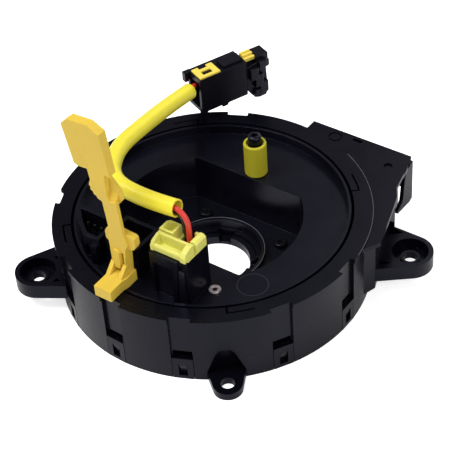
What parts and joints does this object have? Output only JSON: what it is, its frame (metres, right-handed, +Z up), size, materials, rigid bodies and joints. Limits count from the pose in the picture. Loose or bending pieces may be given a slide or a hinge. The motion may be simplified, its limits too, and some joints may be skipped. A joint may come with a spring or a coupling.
{
  "type": "steering clock spring",
  "caption": "Round black housing with a turning dish, plug sockets, rear connector box, screw ears, yellow lock tab and a sleeved lead with its connector.",
  "frame": {"origin": "on the turning axis at the underside of the case, in the middle of the column bore", "axes": "+Z up along the turning axis out of the dish, +Y towards the rear connector box, +X to the right ear"},
  "size_m": [0.1254, 0.128, 0.0899],
  "materials": {
    "case_black": "satin moulded black plastic",
    "dish_black": "satin moulded black plastic",
    "cable_film": "smooth film",
    "pin_metal": "plated",
    "screw_metal": "bright plated",
    "drive_pin_plastic": "satin moulded plastic",
    "drive_sleeve_plastic": "soft moulded plastic",
    "plug_lime": "satin moulded plastic",
    "red_insulation": "smooth cable insulation",
    "black_insulation": "smooth cable insulation",
    "lead_yellow": "smooth flexible sleeve",
    "connector_black": "satin moulded plastic",
    "clip_yellow": "satin moulded plastic",
    "lock_black": "satin moulded plastic",
    "tab_yellow": "satin moulded plastic"
  },
  "bodies": {
    "stator": {"upper_case": "case_black", "bottom_cover": "case_black", "rear_block": "case_black", "rear_pin_1": "pin_metal", "rear_pin_2": "pin_metal", "rear_pin_3": "pin_metal", "rear_pin_4": "pin_metal", "rear_pin_5": "pin_metal", "rear_pin_6": "pin_metal", "flat_cable": "cable_film"},
    "dish": {"rotor": "dish_black", "retaining_ring": "dish_black", "hub_screw_1": "screw_metal", "hub_screw_2": "screw_metal", "drive_pin": "drive_pin_plastic", "drive_sleeve": "drive_sleeve_plastic", "plate_rivet": "screw_metal", "middle_pin_1": "pin_metal", "middle_pin_2": "pin_metal", "middle_pin_3": "pin_metal", "middle_pin_4": "pin_metal", "left_pin_1": "pin_metal", "left_pin_2": "pin_metal", "left_pin_3": "pin_metal", "airbag_plug": "plug_lime", "red_wire": "red_insulation", "black_wire": "black_insulation", "lead_sleeve": "lead_yellow", "connector_body": "connector_black", "connector_nose": "connector_black", "terminal_lock": "lock_black"},
    "lock_tab": {"lock_tab": "tab_yellow"},
    "cpa_slider": {"cpa_slider": "clip_yellow"}
  },
  "joints": [
    {"name": "dish_turn", "type": "hinge", "parent": "stator", "child": "dish", "pos_m": [0, 0, 0], "axis": [0, 0, 1], "range_deg": [-900, 900]},
    {"name": "tab_pull", "type": "slide", "parent": "dish", "child": "lock_tab", "axis": [0, 0, 1], "range_m": [0, 0.03]},
    {"name": "cpa_slide", "type": "slide", "parent": "dish", "child": "cpa_slider", "axis": [0.3907, 0.9205, 0], "range_m": [0, 0.0018]}
  ]
}
